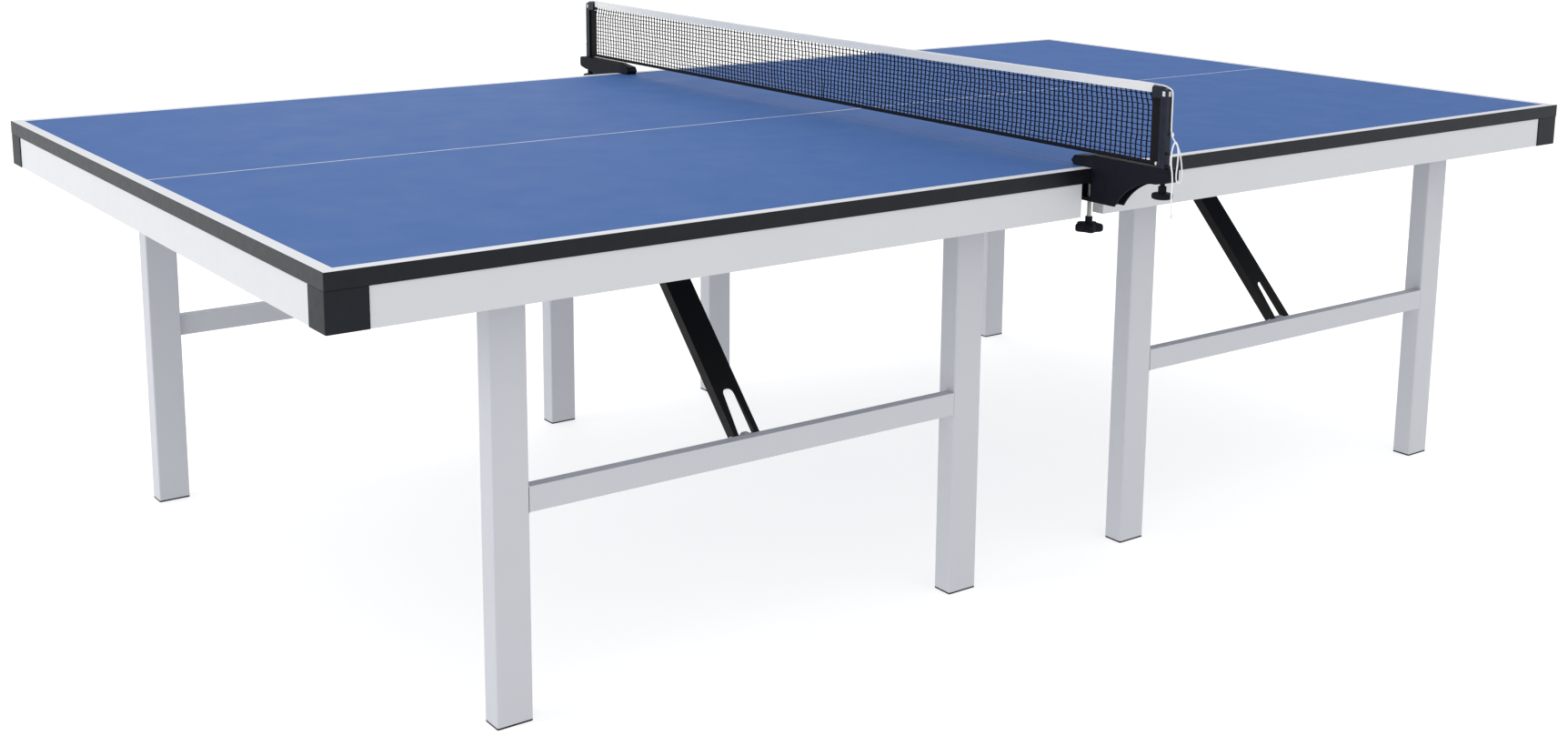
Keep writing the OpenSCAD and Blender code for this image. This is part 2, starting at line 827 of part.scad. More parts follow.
cord_cleat(false);  // cord_cleat_near
cord_cleat(true);  // cord_cleat_far
net();
net_tape();
cord(false, concat(cord_start, cord_bow));  // cord_near
cord(true, concat(cord_start, cord_short_end));  // cord_far
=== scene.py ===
"""Looks for a two-half table tennis table: materials, netting, cords and softened edges."""
import json
import math

import bmesh
import bpy
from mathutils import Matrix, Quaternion, Vector, noise


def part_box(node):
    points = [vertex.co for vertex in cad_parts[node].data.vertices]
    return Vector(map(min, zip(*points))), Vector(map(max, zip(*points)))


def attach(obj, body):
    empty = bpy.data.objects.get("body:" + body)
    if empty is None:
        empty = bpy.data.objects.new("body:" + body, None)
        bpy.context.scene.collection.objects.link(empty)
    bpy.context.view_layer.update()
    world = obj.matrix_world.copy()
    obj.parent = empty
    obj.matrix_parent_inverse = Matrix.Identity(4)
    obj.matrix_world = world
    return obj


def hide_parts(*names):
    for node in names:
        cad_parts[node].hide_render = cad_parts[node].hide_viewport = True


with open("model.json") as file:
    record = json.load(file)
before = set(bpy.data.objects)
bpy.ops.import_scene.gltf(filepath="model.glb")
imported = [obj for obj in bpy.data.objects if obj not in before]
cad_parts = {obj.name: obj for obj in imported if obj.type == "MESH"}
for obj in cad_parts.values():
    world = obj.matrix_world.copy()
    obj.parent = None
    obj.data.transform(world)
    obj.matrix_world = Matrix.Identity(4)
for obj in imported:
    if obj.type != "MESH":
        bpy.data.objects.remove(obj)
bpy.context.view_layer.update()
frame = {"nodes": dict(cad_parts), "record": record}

MM = 0.001

# ---------- sizes taken from the frame ----------

TABLE_LOW, TABLE_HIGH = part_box("top_left")
TABLE_TOP = TABLE_HIGH[2]
HALF_LENGTH = -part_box("edge_band_left")[0][0]
HALF_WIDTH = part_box("edge_band_left")[1][1]
JOINT_EDGE = -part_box("edge_band_left")[1][0]
NET_LOW, NET_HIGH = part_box("net")
TAPE_LOW, TAPE_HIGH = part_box("net_tape")

SIDES = {"near": 1, "far": -1}
FRAMES = [f"{half}_{place}" for half in ("left", "right") for place in SIDES]


def turned(point, side):
    """A point given for the near side, or turned half a turn about Z for the far side."""
    x, y, z = point
    return Vector((x * side, y * side, z))


# ---------- camera ----------

CAMERA_AT = Vector((-2.254, -2.9543, 1.308))
CAMERA_LENS = 42.81
CAMERA_SHIFT = (0.0084, -0.1146)
SENSOR_WIDTH = 36.0
CAMERA_FORWARD = Vector((0.57476, 0.79684, -0.18626))
CAMERA_ROLL = 0.395


def make_camera():
    data = bpy.data.cameras.new("camera")
    data.sensor_width = SENSOR_WIDTH
    data.lens = CAMERA_LENS
    data.shift_x, data.shift_y = CAMERA_SHIFT
    data.clip_start = 0.05
    camera = bpy.data.objects.new("camera", data)
    camera.location = CAMERA_AT
    camera.rotation_mode = "QUATERNION"
    roll = Quaternion((0, 0, 1), math.radians(CAMERA_ROLL))
    camera.rotation_quaternion = CAMERA_FORWARD.to_track_quat("-Z", "Y") @ roll
    bpy.context.collection.objects.link(camera)
    bpy.context.scene.camera = camera


make_camera()

# ---------- meshes ----------


def new_piece(name, mesh, look, body):
    piece = bpy.data.objects.new(name, mesh)
    bpy.context.collection.objects.link(piece)
    mesh.materials.clear()
    mesh.materials.append(look)
    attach(piece, body)
    return piece


def mesh_from(name, bm, smooth_angle=35):
    bmesh.ops.recalc_face_normals(bm, faces=bm.faces)
    mesh = bpy.data.meshes.new(name)
    bm.to_mesh(mesh)
    bm.free()
    mesh.shade_smooth()
    mesh.set_sharp_from_angle(angle=math.radians(smooth_angle))
    return mesh


def even_normals(piece):
    """Keeps large flat faces flat where a rounded edge meets them."""
    modifier = piece.modifiers.new("even_normals", "WEIGHTED_NORMAL")
    modifier.keep_sharp = True
    modifier.weight = 90


def add_box(bm, low, high):
    corners = [bm.verts.new((x, y, z)) for x in (low[0], high[0])
               for y in (low[1], high[1]) for z in (low[2], high[2])]
    for quad in ((0, 1, 3, 2), (4, 6, 7, 5), (0, 4, 5, 1), (2, 3, 7, 6), (0, 2, 6, 4), (1, 5, 7, 3)):
        bm.faces.new([corners[i] for i in quad])


def bevel_sharp(bm, width, segments, angle=30):
    edges = [e for e in bm.edges if len(e.link_faces) == 2 and e.calc_face_angle(0) > math.radians(angle)]
    if edges:
        bmesh.ops.bevel(bm, geom=edges, offset=width, offset_type="OFFSET", segments=segments,
                        profile=0.5, affect="EDGES", clamp_overlap=True)


BODY_OF = {node: body for body, nodes in frame["record"]["behaviour"]["bodies"].items() for node in nodes}


def softened(node, look, width=0.6, segments=2):
    """A finished copy of a CAD node, in the same place, with its edges rounded off."""
    source = frame["nodes"][node].data
    bm = bmesh.new()
    bm.from_mesh(source)
    bmesh.ops.remove_doubles(bm, verts=bm.verts, dist=0.01 * MM)
    bmesh.ops.dissolve_limit(bm, angle_limit=math.radians(0.5), verts=bm.verts, edges=bm.edges)
    bevel_sharp(bm, width * MM, segments)
    piece = new_piece(node + "_finished", mesh_from(node + "_finished", bm), look, BODY_OF[node])
    even_normals(piece)
    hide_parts(node)
    return piece


def ring_frames(points):
    """For each point of a path: the point, and two directions square to the path that turn with it."""
    frames = []
    side = None
    for i, point in enumerate(points):
        ahead = (points[min(i + 1, len(points) - 1)] - points[max(i - 1, 0)]).normalized()
        if side is None:
            side = ahead.cross(Vector((0, 0, 1)) if abs(ahead.z) < 0.9 else Vector((0, 1, 0)))
        side = (side - ahead * side.dot(ahead)).normalized()
        frames.append((point, side, ahead.cross(side)))
    return frames


def add_tube(bm, points, radius, sides=8, closed=False, shape=None):
    """Adds a tube along points; shape(i, k) scales the radius at ring i, side k."""
    rings = []
    for i, (point, u, v) in enumerate(ring_frames(points)):
        ring = []
        for k in range(sides):
            angle = 2 * math.pi * k / sides
            r = radius * (shape(i, k) if shape else 1)
            ring.append(bm.verts.new(point + (u * math.cos(angle) + v * math.sin(angle)) * r))
        rings.append(ring)
    pairs = list(zip(rings, rings[1:] + rings[:1])) if closed else list(zip(rings, rings[1:]))
    for a, b in pairs:
        for k in range(sides):
            bm.faces.new((a[k], a[(k + 1) % sides], b[(k + 1) % sides], b[k]))
    if not closed:
        bm.faces.new(list(reversed(rings[0])))
        bm.faces.new(rings[-1])


def smooth_path(points, step):
    """A smooth curve through points, cut into pieces about step long."""
    points = [Vector(p) for p in points]
    padded = [points[0] * 2 - points[1]] + points + [points[-1] * 2 - points[-2]]
    path = []
    for a, b, c, d in zip(padded, padded[1:], padded[2:], padded[3:]):
        count = max(1, round((c - b).length / step))
        for i in range(count):
            t = i / count
            path.append(0.5 * (2 * b + (c - a) * t + (2 * a - 5 * b + 4 * c - d) * t ** 2
                               + (3 * b - a - 3 * c + d) * t ** 3))
    return path + [points[-1]]


# ---------- materials ----------


class Look:
    """One procedural material on a Principled shader, in real-size object coordinates (metres)."""

    def __init__(self, name, roughness, **sockets):
        self.material = bpy.data.materials.new(name)
        self.material.use_nodes = True
        self.tree = self.material.node_tree
        self.shader = self.tree.nodes["Principled BSDF"]
        self.shader.inputs["Roughness"].default_value = roughness
        for socket, value in sockets.items():
            self.shader.inputs[socket.replace("_", " ")].default_value = value
        self.place = self.node("ShaderNodeTexCoord").outputs["Object"]
        self.height = None

    def node(self, kind, **settings):
        node = self.tree.nodes.new(kind)
        for key, value in settings.items():
            setattr(node, key, value)
        return node

    def put(self, value, socket):
        if isinstance(value, bpy.types.NodeSocket):
            self.tree.links.new(value, socket)
        else:
            socket.default_value = value

    def math(self, operation, a, b=0.0, clamp=False):
        node = self.node("ShaderNodeMath", operation=operation, use_clamp=clamp)
        self.put(a, node.inputs[0])
        self.put(b, node.inputs[1])
        return node.outputs[0]

    def stretched(self, scale):
        node = self.node("ShaderNodeMapping")
        self.put(self.place, node.inputs["Vector"])
        node.inputs["Scale"].default_value = scale
        return node.outputs["Vector"]

    def noise(self, scale, detail=3.0, roughness=0.55, stretch=(1, 1, 1)):
        node = self.node("ShaderNodeTexNoise")
        self.put(self.stretched(stretch), node.inputs["Vector"])
        node.inputs["Scale"].default_value = scale
        node.inputs["Detail"].default_value = detail
        node.inputs["Roughness"].default_value = roughness
        return node.outputs["Fac"]

    def cells(self, scale):
        node = self.node("ShaderNodeTexVoronoi", feature="F1")
        self.put(self.stretched((1, 1, 1)), node.inputs["Vector"])
        node.inputs["Scale"].default_value = scale
        return node.outputs["Distance"]

    def axis(self, name):
        node = self.node("ShaderNodeSeparateXYZ")
        self.put(self.place, node.inputs[0])
        return node.outputs[name]

    def spread(self, value, low, high, to_low=0.0, to_high=1.0):
        node = self.node("ShaderNodeMapRange")
        self.put(value, node.inputs["Value"])
        for socket, number in zip(("From Min", "From Max", "To Min", "To Max"), (low, high, to_low, to_high)):
            node.inputs[socket].default_value = number
        return node.outputs["Result"]

    def mix(self, factor, a, b):
        node = self.node("ShaderNodeMix", data_type="RGBA")
        self.put(factor, node.inputs[0])
        self.put(a, node.inputs[6])
        self.put(b, node.inputs[7])
        return node.outputs[2]

    def colour(self, value):
        self.put(value, self.shader.inputs["Base Color"])

    def rough(self, value):
        self.put(value, self.shader.inputs["Roughness"])

    def bump(self, height, depth):
        """Adds a bump of that depth in metres over the bumps before it."""
        node = self.node("ShaderNodeBump")
        node.inputs["Strength"].default_value = 1.0
        node.inputs["Distance"].default_value = depth
        self.put(height, node.inputs["Height"])
        if self.height:
            self.put(self.height, node.inputs["Normal"])
        self.height = node.outputs["Normal"]
        self.put(self.height, self.shader.inputs["Normal"])


def shade(rgb, factor=1.0):
    """An opaque colour, lighter or darker by factor."""
    return (*[min(1.0, c * factor) for c in rgb], 1.0)


def worn_edges(look, base, light, amount):
    """Mixes a lighter tone in where an edge is exposed, broken up by noise."""
    bevel = look.node("ShaderNodeNewGeometry").outputs["Pointiness"]
    edge = look.spread(bevel, 0.52, 0.60)
    broken = look.math("MULTIPLY", edge, look.spread(look.noise(60), 0.45, 0.65), clamp=True)
    return look.mix(look.math("MULTIPLY", broken, amount), base, light)


def playing_surface():
    """Matt blue rolled lacquer on the top, slate primer over the board below."""
    look = Look("blue_playing_lacquer", 0.62, Specular_IOR_Level=0.08)
    blue = (0.041, 0.120, 0.351)
    cloud = look.spread(look.noise(3.5, detail=4), 0.3, 0.7)
    lacquer = look.mix(cloud, shade(blue, 0.985), shade(blue, 1.015))
    grain = look.spread(look.noise(900, detail=2), 0.35, 0.68)
    lacquer = look.mix(look.math("MULTIPLY", grain, 0.35), lacquer, shade((0.057, 0.138, 0.371)))
    scuffs = look.spread(look.noise(26, detail=6, roughness=0.7), 0.68, 0.8)
    lacquer = look.mix(look.math("MULTIPLY", scuffs, 0.04), lacquer, shade((0.2, 0.3, 0.52)))
    fibre = look.mix(look.noise(420, stretch=(1, 6, 1)), shade((0.10, 0.125, 0.18)),
                     shade((0.145, 0.17, 0.235)))
    over = look.spread(look.axis("Z"), TABLE_LOW[2] + 1 * MM, TABLE_LOW[2] + 1.5 * MM)
    look.colour(look.mix(over, fibre, lacquer))
    look.rough(look.spread(look.noise(14, detail=5), 0.3, 0.7, 0.58, 0.66))
    look.bump(look.noise(650, detail=2), 0.035 * MM)
    look.bump(look.noise(90, detail=2), 0.02 * MM)
    return look.material


def line_paint():
    look = Look("white_line_paint", 0.5)
    tone = look.mix(look.noise(40, detail=5), shade((0.60, 0.62, 0.66)), shade((0.66, 0.675, 0.71)))
    wear = look.spread(look.noise(30, detail=8, roughness=0.75), 0.64, 0.74)
    look.colour(look.mix(look.math("MULTIPLY", wear, 0.25), tone, shade((0.6, 0.66, 0.8))))
    look.bump(look.noise(700, detail=2), 0.04 * MM)
    return look.material


def moulded(name, base, roughness, grain=1500, depth=0.03, specular=0.24, tint=(1, 1, 1, 1)):
    """Grained moulded plastic; depth is the grain's, in millimetres."""
    look = Look(name, roughness, Specular_IOR_Level=specular, Specular_Tint=tint)
    tone = look.mix(look.noise(900, detail=3), shade(base, 0.7), shade(base, 1.4))
    look.colour(worn_edges(look, tone, shade(base, 2.5), 0.4))
    look.rough(look.spread(look.noise(70, detail=4), 0.3, 0.7, roughness - 0.025, roughness + 0.03))
    look.bump(look.cells(grain), depth * MM)
    return look.material


def powder_coat(name, base, roughness, depth=0.05, specular=0.3):
    """Speckled powder coat over steel; depth is its orange peel's, in millimetres."""
    look = Look(name, roughness, Specular_IOR_Level=specular)
    tone = look.mix(look.noise(9, detail=4), shade(base, 0.975), shade(base, 1.02))
    speck = look.spread(look.noise(1100, detail=2), 0.36, 0.7)
    tone = look.mix(look.math("MULTIPLY", speck, 0.35), tone, shade(base, 0.93))
    look.colour(tone)
    look.rough(look.spread(look.noise(40, detail=3), 0.3, 0.7, roughness - 0.05, roughness + 0.06))
    look.bump(look.noise(520, detail=2, roughness=0.4), depth * MM)
    return look.material


def zinc():
    look = Look("zinc_plated_steel", 0.36, Metallic=1.0)
    look.colour(look.mix(look.noise(120, detail=5), (0.42, 0.42, 0.40, 1), (0.62, 0.62, 0.6, 1)))
    look.rough(look.spread(look.noise(300, detail=4), 0.3, 0.7, 0.28, 0.45))
    look.bump(look.noise(900, stretch=(1, 1, 6)), 0.012 * MM)
    return look.material


def nylon():
    look = Look("white_nylon", 0.42, Subsurface_Weight=0.08)
    look.colour(look.mix(look.noise(80), (0.66, 0.66, 0.63, 1), (0.74, 0.74, 0.72, 1)))
    look.bump(look.noise(800), 0.02 * MM)
    return look.material


def rubber():
    look = Look("black_rubber", 0.8, Specular_IOR_Level=0.3)
    look.colour(look.mix(look.noise(60), (0.012, 0.012, 0.012, 1), (0.025, 0.025, 0.026, 1)))
    look.bump(look.cells(700), 0.05 * MM)
    return look.material


def cloth(name, dark, light, roughness, across, along, depth, sheen=0.1):
    """A plain weave in the YZ plane: across and along are threads per metre."""
    look = Look(name, roughness, Sheen_Weight=sheen, Sheen_Roughness=0.4, Specular_IOR_Level=0.15)
    waves = []
    for axis, count in (("Y", along), ("Z", across)):
        turns = look.math("MULTIPLY", look.axis(axis), count * math.pi)
        waves.append(look.math("ABSOLUTE", look.math("SINE", turns)))
    weave = look.math("MULTIPLY", waves[0], waves[1])
    fuzz = look.noise(2600, detail=3)
    tone = look.math("ADD", look.math("MULTIPLY", weave, 0.7), look.math("MULTIPLY", fuzz, 0.4), clamp=True)
    look.colour(look.mix(tone, shade(dark), shade(light)))
    look.bump(weave, depth * MM)
    look.bump(fuzz, depth * 0.5 * MM)
    return look.material


def thread_look():
    look = Look("black_net_twine", 0.8, Sheen_Weight=0.03, Sheen_Roughness=0.5, Specular_IOR_Level=0.12)
    fibres = look.noise(1800, detail=3)
    look.colour(look.mix(fibres, (0.003, 0.003, 0.006, 1), (0.010, 0.010, 0.019, 1)))
    look.bump(fibres, 0.12 * MM)
    return look.material


def cord_look():
    look = Look("white_braided_cord", 0.7, Sheen_Weight=0.25, Sheen_Roughness=0.5)
    fibres = look.noise(2200, detail=3)
    look.colour(look.mix(fibres, (0.66, 0.67, 0.70, 1), (0.88, 0.89, 0.91, 1)))
    look.bump(fibres, 0.08 * MM)
    return look.material


COOL_TINT = (0.78, 0.88, 1.0, 1)
BLUE_TOP = playing_surface()
WHITE_PAINT = line_paint()
BAND_BLACK = moulded("extruded_black_band", (0.004, 0.004, 0.0055), 0.42, grain=900, depth=0.02,
                     specular=0.26, tint=COOL_TINT)
CAP_BLACK = moulded("moulded_black_cap", (0.004, 0.0045, 0.006), 0.5, grain=1300, depth=0.05,
                    specular=0.26, tint=COOL_TINT)
POST_BLACK = moulded("post_nylon", (0.007, 0.0095, 0.018), 0.42, grain=1500, depth=0.04)
MARK_GREY = moulded("pale_plastic", (0.42, 0.43, 0.45), 0.45, grain=1500, depth=0.02)
CLAMP_BLACK = moulded("glass_filled_nylon", (0.005, 0.0058, 0.0105), 0.6, grain=1600, depth=0.05,
                      specular=0.1)
FOOT_BLACK = moulded("foot_plastic", (0.006, 0.006, 0.006), 0.6)
LEG_GREY = powder_coat("light_grey_powder_coat", (0.515, 0.528, 0.565), 0.5)
RAIL_GREY = powder_coat("rail_grey_lacquer", (0.575, 0.59, 0.615), 0.42, depth=0.03)
BRACE_BLACK = powder_coat("black_powder_coat", (0.003, 0.003, 0.0035), 0.5, depth=0.06, specular=0.17)
ZINC = zinc()
NYLON = nylon()
RUBBER = rubber()
TWINE = thread_look()
TAPE_CLOTH = cloth("white_cotton_tape", (0.585, 0.59, 0.593), (0.854, 0.862, 0.861), 0.8,
                   1500, 1500, 0.10)
HEM_CLOTH = cloth("black_hem_cloth", (0.002, 0.002, 0.003), (0.009, 0.009, 0.012), 0.75,
                  1300, 1300, 0.12, sheen=0.03)
CORD_WHITE = cord_look()

# ---------- cords ----------

CORD_D = 2.4 * MM
CORD_STEP = 0.4 * MM
BRAID_PITCH = 4.5 * MM
KNOT_SCALE = 1.0 * MM

# Places are (x, distance from the middle line, z) in millimetres, as in the CAD route.
CORD_START = [
    (0, 888.7, 916.2), (0, 893, 916.2), (0, 899, 916), (0.2, 905, 915.9), (1, 911, 915),
    (2, 916, 913.4), (3, 920, 911.6), (4, 922.6, 909), (4.6, 923.6, 905), (5, 923.6, 895),
    (5, 923.6, 878), (5, 923.6, 860), (5, 924, 845),
]
CORD_BOW = [
    (5, 926, 836), (6.5, 930.5, 828), (9.5, 935, 819), (13, 937, 808), (17, 937, 794),
    (19.5, 937, 779), (19, 937, 767), (14, 937, 759.5), (8, 937, 763), (6.5, 937, 774),
    (8.5, 937, 790), (9, 937, 806), (7, 937, 820), (1.5, 937, 827.5), (-4, 937, 820),
    (-7, 937, 806), (-6.5, 937, 792), (-3, 937, 776), (-1.5, 937, 758), (-2.5, 937, 740),
    (-1.5, 937, 722), (0, 937, 705),
]
CORD_SHORT_END = [
    (4, 925.5, 833), (2, 928.5, 824), (0.3, 930, 816), (0, 930, 809.6),
]
BOW_KNOT = (5, 926.5, 838)


def braid(i, k, sides=12):
    """Two sets of strands that wind opposite ways."""
    angle = 2 * math.pi * k / sides
    turn = 2 * math.pi * i * CORD_STEP / BRAID_PITCH
    return 1 + 0.05 * (math.cos(3 * angle + turn) + math.cos(3 * angle - turn))


def make_knot(name, centre, tilt=0.0, scale=KNOT_SCALE):
    """An overhand knot, as a trefoil of the same cord pulled tight."""
    turns = [2 * math.pi * i / 60 for i in range(60)]
    points = []
    for t in turns:
        reach = 2 + math.cos(3 * t)
        local = Vector((reach * math.cos(2 * t), math.sin(3 * t), reach * math.sin(2 * t))) * scale
        local.rotate(Quaternion((0, 0, 1), tilt))
        points.append(Vector(centre) + local)
    bm = bmesh.new()
    add_tube(bm, points, CORD_D / 2, sides=10, closed=True)
    return new_piece(name, mesh_from(name, bm, 60), CORD_WHITE, "net_frame")


def make_cord(name, node, places, side, knots):
    route = [turned((x * MM, -y * MM, z * MM), side) for x, y, z in places]
    path = smooth_path(route, CORD_STEP)
    bm = bmesh.new()
    add_tube(bm, path, CORD_D / 2, sides=12, shape=braid)
    piece = new_piece(name, mesh_from(name, bm, 60), CORD_WHITE, "net_frame")
    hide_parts(node)
    ends = [make_knot(f"{name}_end_knot", path[-1], 0.4)]
    ends += [make_knot(f"{name}_bow_knot", turned((x * MM, -y * MM, z * MM), side), 1.1) for x, y, z in knots]


make_cord("tension_cord_near", "cord_near", CORD_START + CORD_BOW, SIDES["near"], [BOW_KNOT])
make_cord("tension_cord_far", "cord_far", CORD_START + CORD_SHORT_END, SIDES["far"], [])

# ---------- table top and its lines ----------

LINE_W = 20 * MM
CENTRE_LINE_W = 3 * MM
PAINT_T = 0.12 * MM
PAINT_EDGE = 0.5 * MM


def make_lines(half, sign):
    """Border and centre lines of one half, as a thin film of paint over the panel and its band."""
    low_z, high_z = TABLE_TOP, TABLE_TOP + PAINT_T
    out_x = HALF_LENGTH - PAINT_EDGE
    out_y = HALF_WIDTH - PAINT_EDGE
    strips = [
        ((JOINT_EDGE, out_y - LINE_W), (out_x, out_y)),
        ((JOINT_EDGE, -out_y), (out_x, -out_y + LINE_W)),
        ((out_x - LINE_W, -out_y + LINE_W), (out_x, out_y - LINE_W)),
        ((JOINT_EDGE, -CENTRE_LINE_W / 2), (out_x - LINE_W, CENTRE_LINE_W / 2)),
    ]
    bm = bmesh.new()
    for (x0, y0), (x1, y1) in strips:
        add_box(bm, (min(sign * x0, sign * x1), y0, low_z), (max(sign * x0, sign * x1), y1, high_z))
    name = f"painted_lines_{half}"
    new_piece(name, mesh_from(name, bm), WHITE_PAINT, "table")


def repaint(node, look):
    mesh = frame["nodes"][node].data
    mesh.materials.clear()
    mesh.materials.append(look)


for half, sign in (("left", -1), ("right", 1)):
    repaint(f"top_{half}", BLUE_TOP)
    make_lines(half, sign)
    softened(f"edge_band_{half}", BAND_BLACK, 0.5)
    softened(f"side_rails_{half}", RAIL_GREY, 1.4)
    softened(f"hinge_brackets_{half}", BRACE_BLACK, 0.4)
    softened(f"brace_tracks_{half}", BRACE_BLACK, 0.4)
softened("end_rails", RAIL_GREY, 1.4)
softened("joint_rails", RAIL_GREY, 1.4)
softened("corner_caps", CAP_BLACK, 1.2)
for node in ("leg_pivot_bolts", "panel_screws", "latch_studs", "latch_hook_near", "latch_hook_far"):
    softened(node, ZINC, 0.35)

# ---------- leg frames and braces ----------

BAR_DEPTH = 20 * MM
BEAD_R = 1.3 * MM


def make_welds(place):
    """Rippled weld beads where the crossbar meets each leg."""
    low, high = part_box(f"crossbar_{place}")
    near = place.endswith("near")
    outer = low[1] if near else high[1]
    inner = outer + BAR_DEPTH * (1 if near else -1)
    bm = bmesh.new()
    for x in (low[0], high[0]):
        corners = [(x, outer, low[2]), (x, inner, low[2]), (x, inner, high[2]), (x, outer, high[2])]
        path = []
        for a, b in zip(corners, corners[1:]):
            path += [Vector(a).lerp(Vector(b), i / 30) for i in range(30)]
        add_tube(bm, path, BEAD_R, sides=8, shape=lambda i, k: 1 + 0.14 * math.sin(i * 1.9))
    name = f"weld_beads_{place}"
    new_piece(name, mesh_from(name, bm, 60), LEG_GREY, f"leg_frame_{place}")


for place in FRAMES:
    softened(f"legs_{place}", LEG_GREY, 0.5)
    softened(f"crossbar_{place}", LEG_GREY, 1.2)
    softened(f"foot_caps_{place}", FOOT_BLACK, 0.5)
    softened(f"brace_{place}", BRACE_BLACK, 0.6)
    softened(f"brace_pin_{place}", ZINC, 0.3)
    softened(f"brace_rollers_{place}", NYLON, 0.3)
    make_welds(place)

# ---------- net clamps, screws, knobs and wheels ----------

THREAD_PITCH = 1.25 * MM
THREAD_DEPTH = 0.13
SCREW_R = 4 * MM
SCREW_TIP_H = 3 * MM
SCREW_TIP_R = 2.5 * MM
KNOB_LOBES = 5
KNOB_START = math.radians(20)
KNOB_LOBE_DEPTH = 0.186
KNOB_H = 14 * MM
KNOB_R = 21 * MM
KNOB_HUB_R = 6.25 * MM
KNOB_BORE_R = 4.2 * MM
WHEEL_RIBS = 36
WHEEL_RIB_DEPTH = 0.02
WHEEL_H = 9.5 * MM
WHEEL_R = 17 * MM
COLLAR_H = 11 * MM
COLLAR_R = 6.8 * MM
STEM_R = 4 * MM


def add_turned(bm, axis, rings, sides, outline=None):
    """A closed solid round a vertical axis; each ring is (z, radius, share of the outline)."""
    loops = []
    for z, radius, share in rings:
        loop = []
        for k in range(sides):
            angle = 2 * math.pi * k / sides
            r = radius * (1 + share * (outline(angle, z) if outline else 0))
            loop.append(bm.verts.new((axis[0] + r * math.cos(angle), axis[1] + r * math.sin(angle), z)))
        loops.append(loop)
    for a, b in zip(loops, loops[1:]):
        for k in range(sides):
            bm.faces.new((a[k], a[(k + 1) % sides], b[(k + 1) % sides], b[k]))
    for loop, z in ((loops[0], rings[0][0]), (loops[-1], rings[-1][0])):
        centre = bm.verts.new((axis[0], axis[1], z))
        for k in range(sides):
            bm.faces.new((loop[k], loop[(k + 1) % sides], centre))


def axis_of(node):
    low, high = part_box(node)
    return ((low[0] + high[0]) / 2, (low[1] + high[1]) / 2)


def turned_piece(node, rings, sides, outline, look, angle=60):
    bm = bmesh.new()
    axis = axis_of(node.replace("knob", "screw"))
    add_turned(bm, axis, rings, sides, outline)
    name = node + "_turned"
    piece = new_piece(name, mesh_from(name, bm, angle), look, BODY_OF[node])
    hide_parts(node)


def make_screw(node):
    """A clamp screw with its thread cut as a real helix."""
    low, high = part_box(node)
    tip = high[2] - SCREW_TIP_H
    count = round((tip - low[2]) / (THREAD_PITCH / 5))
    rings = [(low[2] + (tip - low[2]) * i / count, SCREW_R, 1.0) for i in range(count + 1)]
    rings += [(tip + 0.2 * MM, SCREW_TIP_R, 0), (high[2] - 0.3 * MM, SCREW_TIP_R, 0),
              (high[2], 2.2 * MM, 0)]

    def thread(angle, z):
        turn = (z / THREAD_PITCH - angle / (2 * math.pi)) % 1
        return -THREAD_DEPTH * abs(2 * turn - 1)

    turned_piece(node, rings, 24, thread, ZINC)


def make_knob(node, side):
    """A smooth five-lobed hand knob with a hub."""
    low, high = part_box(node)
    z0, z1 = low[2], low[2] + KNOB_H
    mean, hub = KNOB_R, KNOB_HUB_R
    rings = [(z0 + 1.5 * MM, 7 * MM, 0), (z0 + 1.3 * MM, 9 * MM, 0), (z0 + 0.2 * MM, 11 * MM, 0.1),
             (z0, mean * 0.80, 0.7), (z0 + 0.6 * MM, mean * 0.91, 0.9), (z0 + 2 * MM, mean * 0.975, 1),
             (z0 + 4.5 * MM, mean, 1), (z1 - 4.5 * MM, mean, 1), (z1 - 2 * MM, mean * 0.975, 1),
             (z1 - 0.6 * MM, mean * 0.91, 0.9), (z1, mean * 0.80, 0.7), (z1 + 0.3 * MM, 10 * MM, 0.1),
             (z1 + 1.6 * MM, hub + 0.8 * MM, 0), (z1 + 3 * MM, hub, 0), (high[2] - 1 * MM, hub, 0),
             (high[2] - 0.3 * MM, hub - 0.3 * MM, 0), (high[2], hub - 1 * MM, 0), (high[2], KNOB_BORE_R, 0),
             (high[2] - 8 * MM, KNOB_BORE_R, 0)]
    start = KNOB_START + (math.pi if side < 0 else 0)
    lobes = lambda a, z: KNOB_LOBE_DEPTH * math.cos(KNOB_LOBES * (a - start))
    turned_piece(node, rings, 120, lobes, CLAMP_BLACK, 40)


def make_wheel(node):
    """A thumb wheel with a ribbed rim on its lifting stem."""
    low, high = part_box(node)
    z0, z1 = low[2], low[2] + WHEEL_H
    z2 = z1 + COLLAR_H
    r, collar, stem = WHEEL_R, COLLAR_R, STEM_R
    rings = [(z0, r - 3 * MM, 0), (z0 + 0.8 * MM, r - 1 * MM, 0.5), (z0 + 2 * MM, r, 1), (z1 - 2 * MM, r, 1),
             (z1 - 0.8 * MM, r - 1 * MM, 0.5), (z1, r - 3 * MM, 0), (z1, collar, 0),
             (z2 - 0.5 * MM, collar, 0), (z2, collar - 0.5 * MM, 0), (z2, stem, 0),
             (high[2] - 0.5 * MM, stem, 0), (high[2], stem - 0.5 * MM, 0)]
    ribs = lambda a, z: -WHEEL_RIB_DEPTH * (1 + math.cos(WHEEL_RIBS * a))
    turned_piece(node, rings, WHEEL_RIBS * 6, ribs, CLAMP_BLACK, 40)


MARK_HALF_W = 2.9 * MM
MARK_HALF_H = 4 * MM
MARK_T = 0.25 * MM
MARK_DROP = 11 * MM
MARK_OUT = 7 * MM
POST_MIDDLE = 0.915
POST_LINE_START = 17 * MM


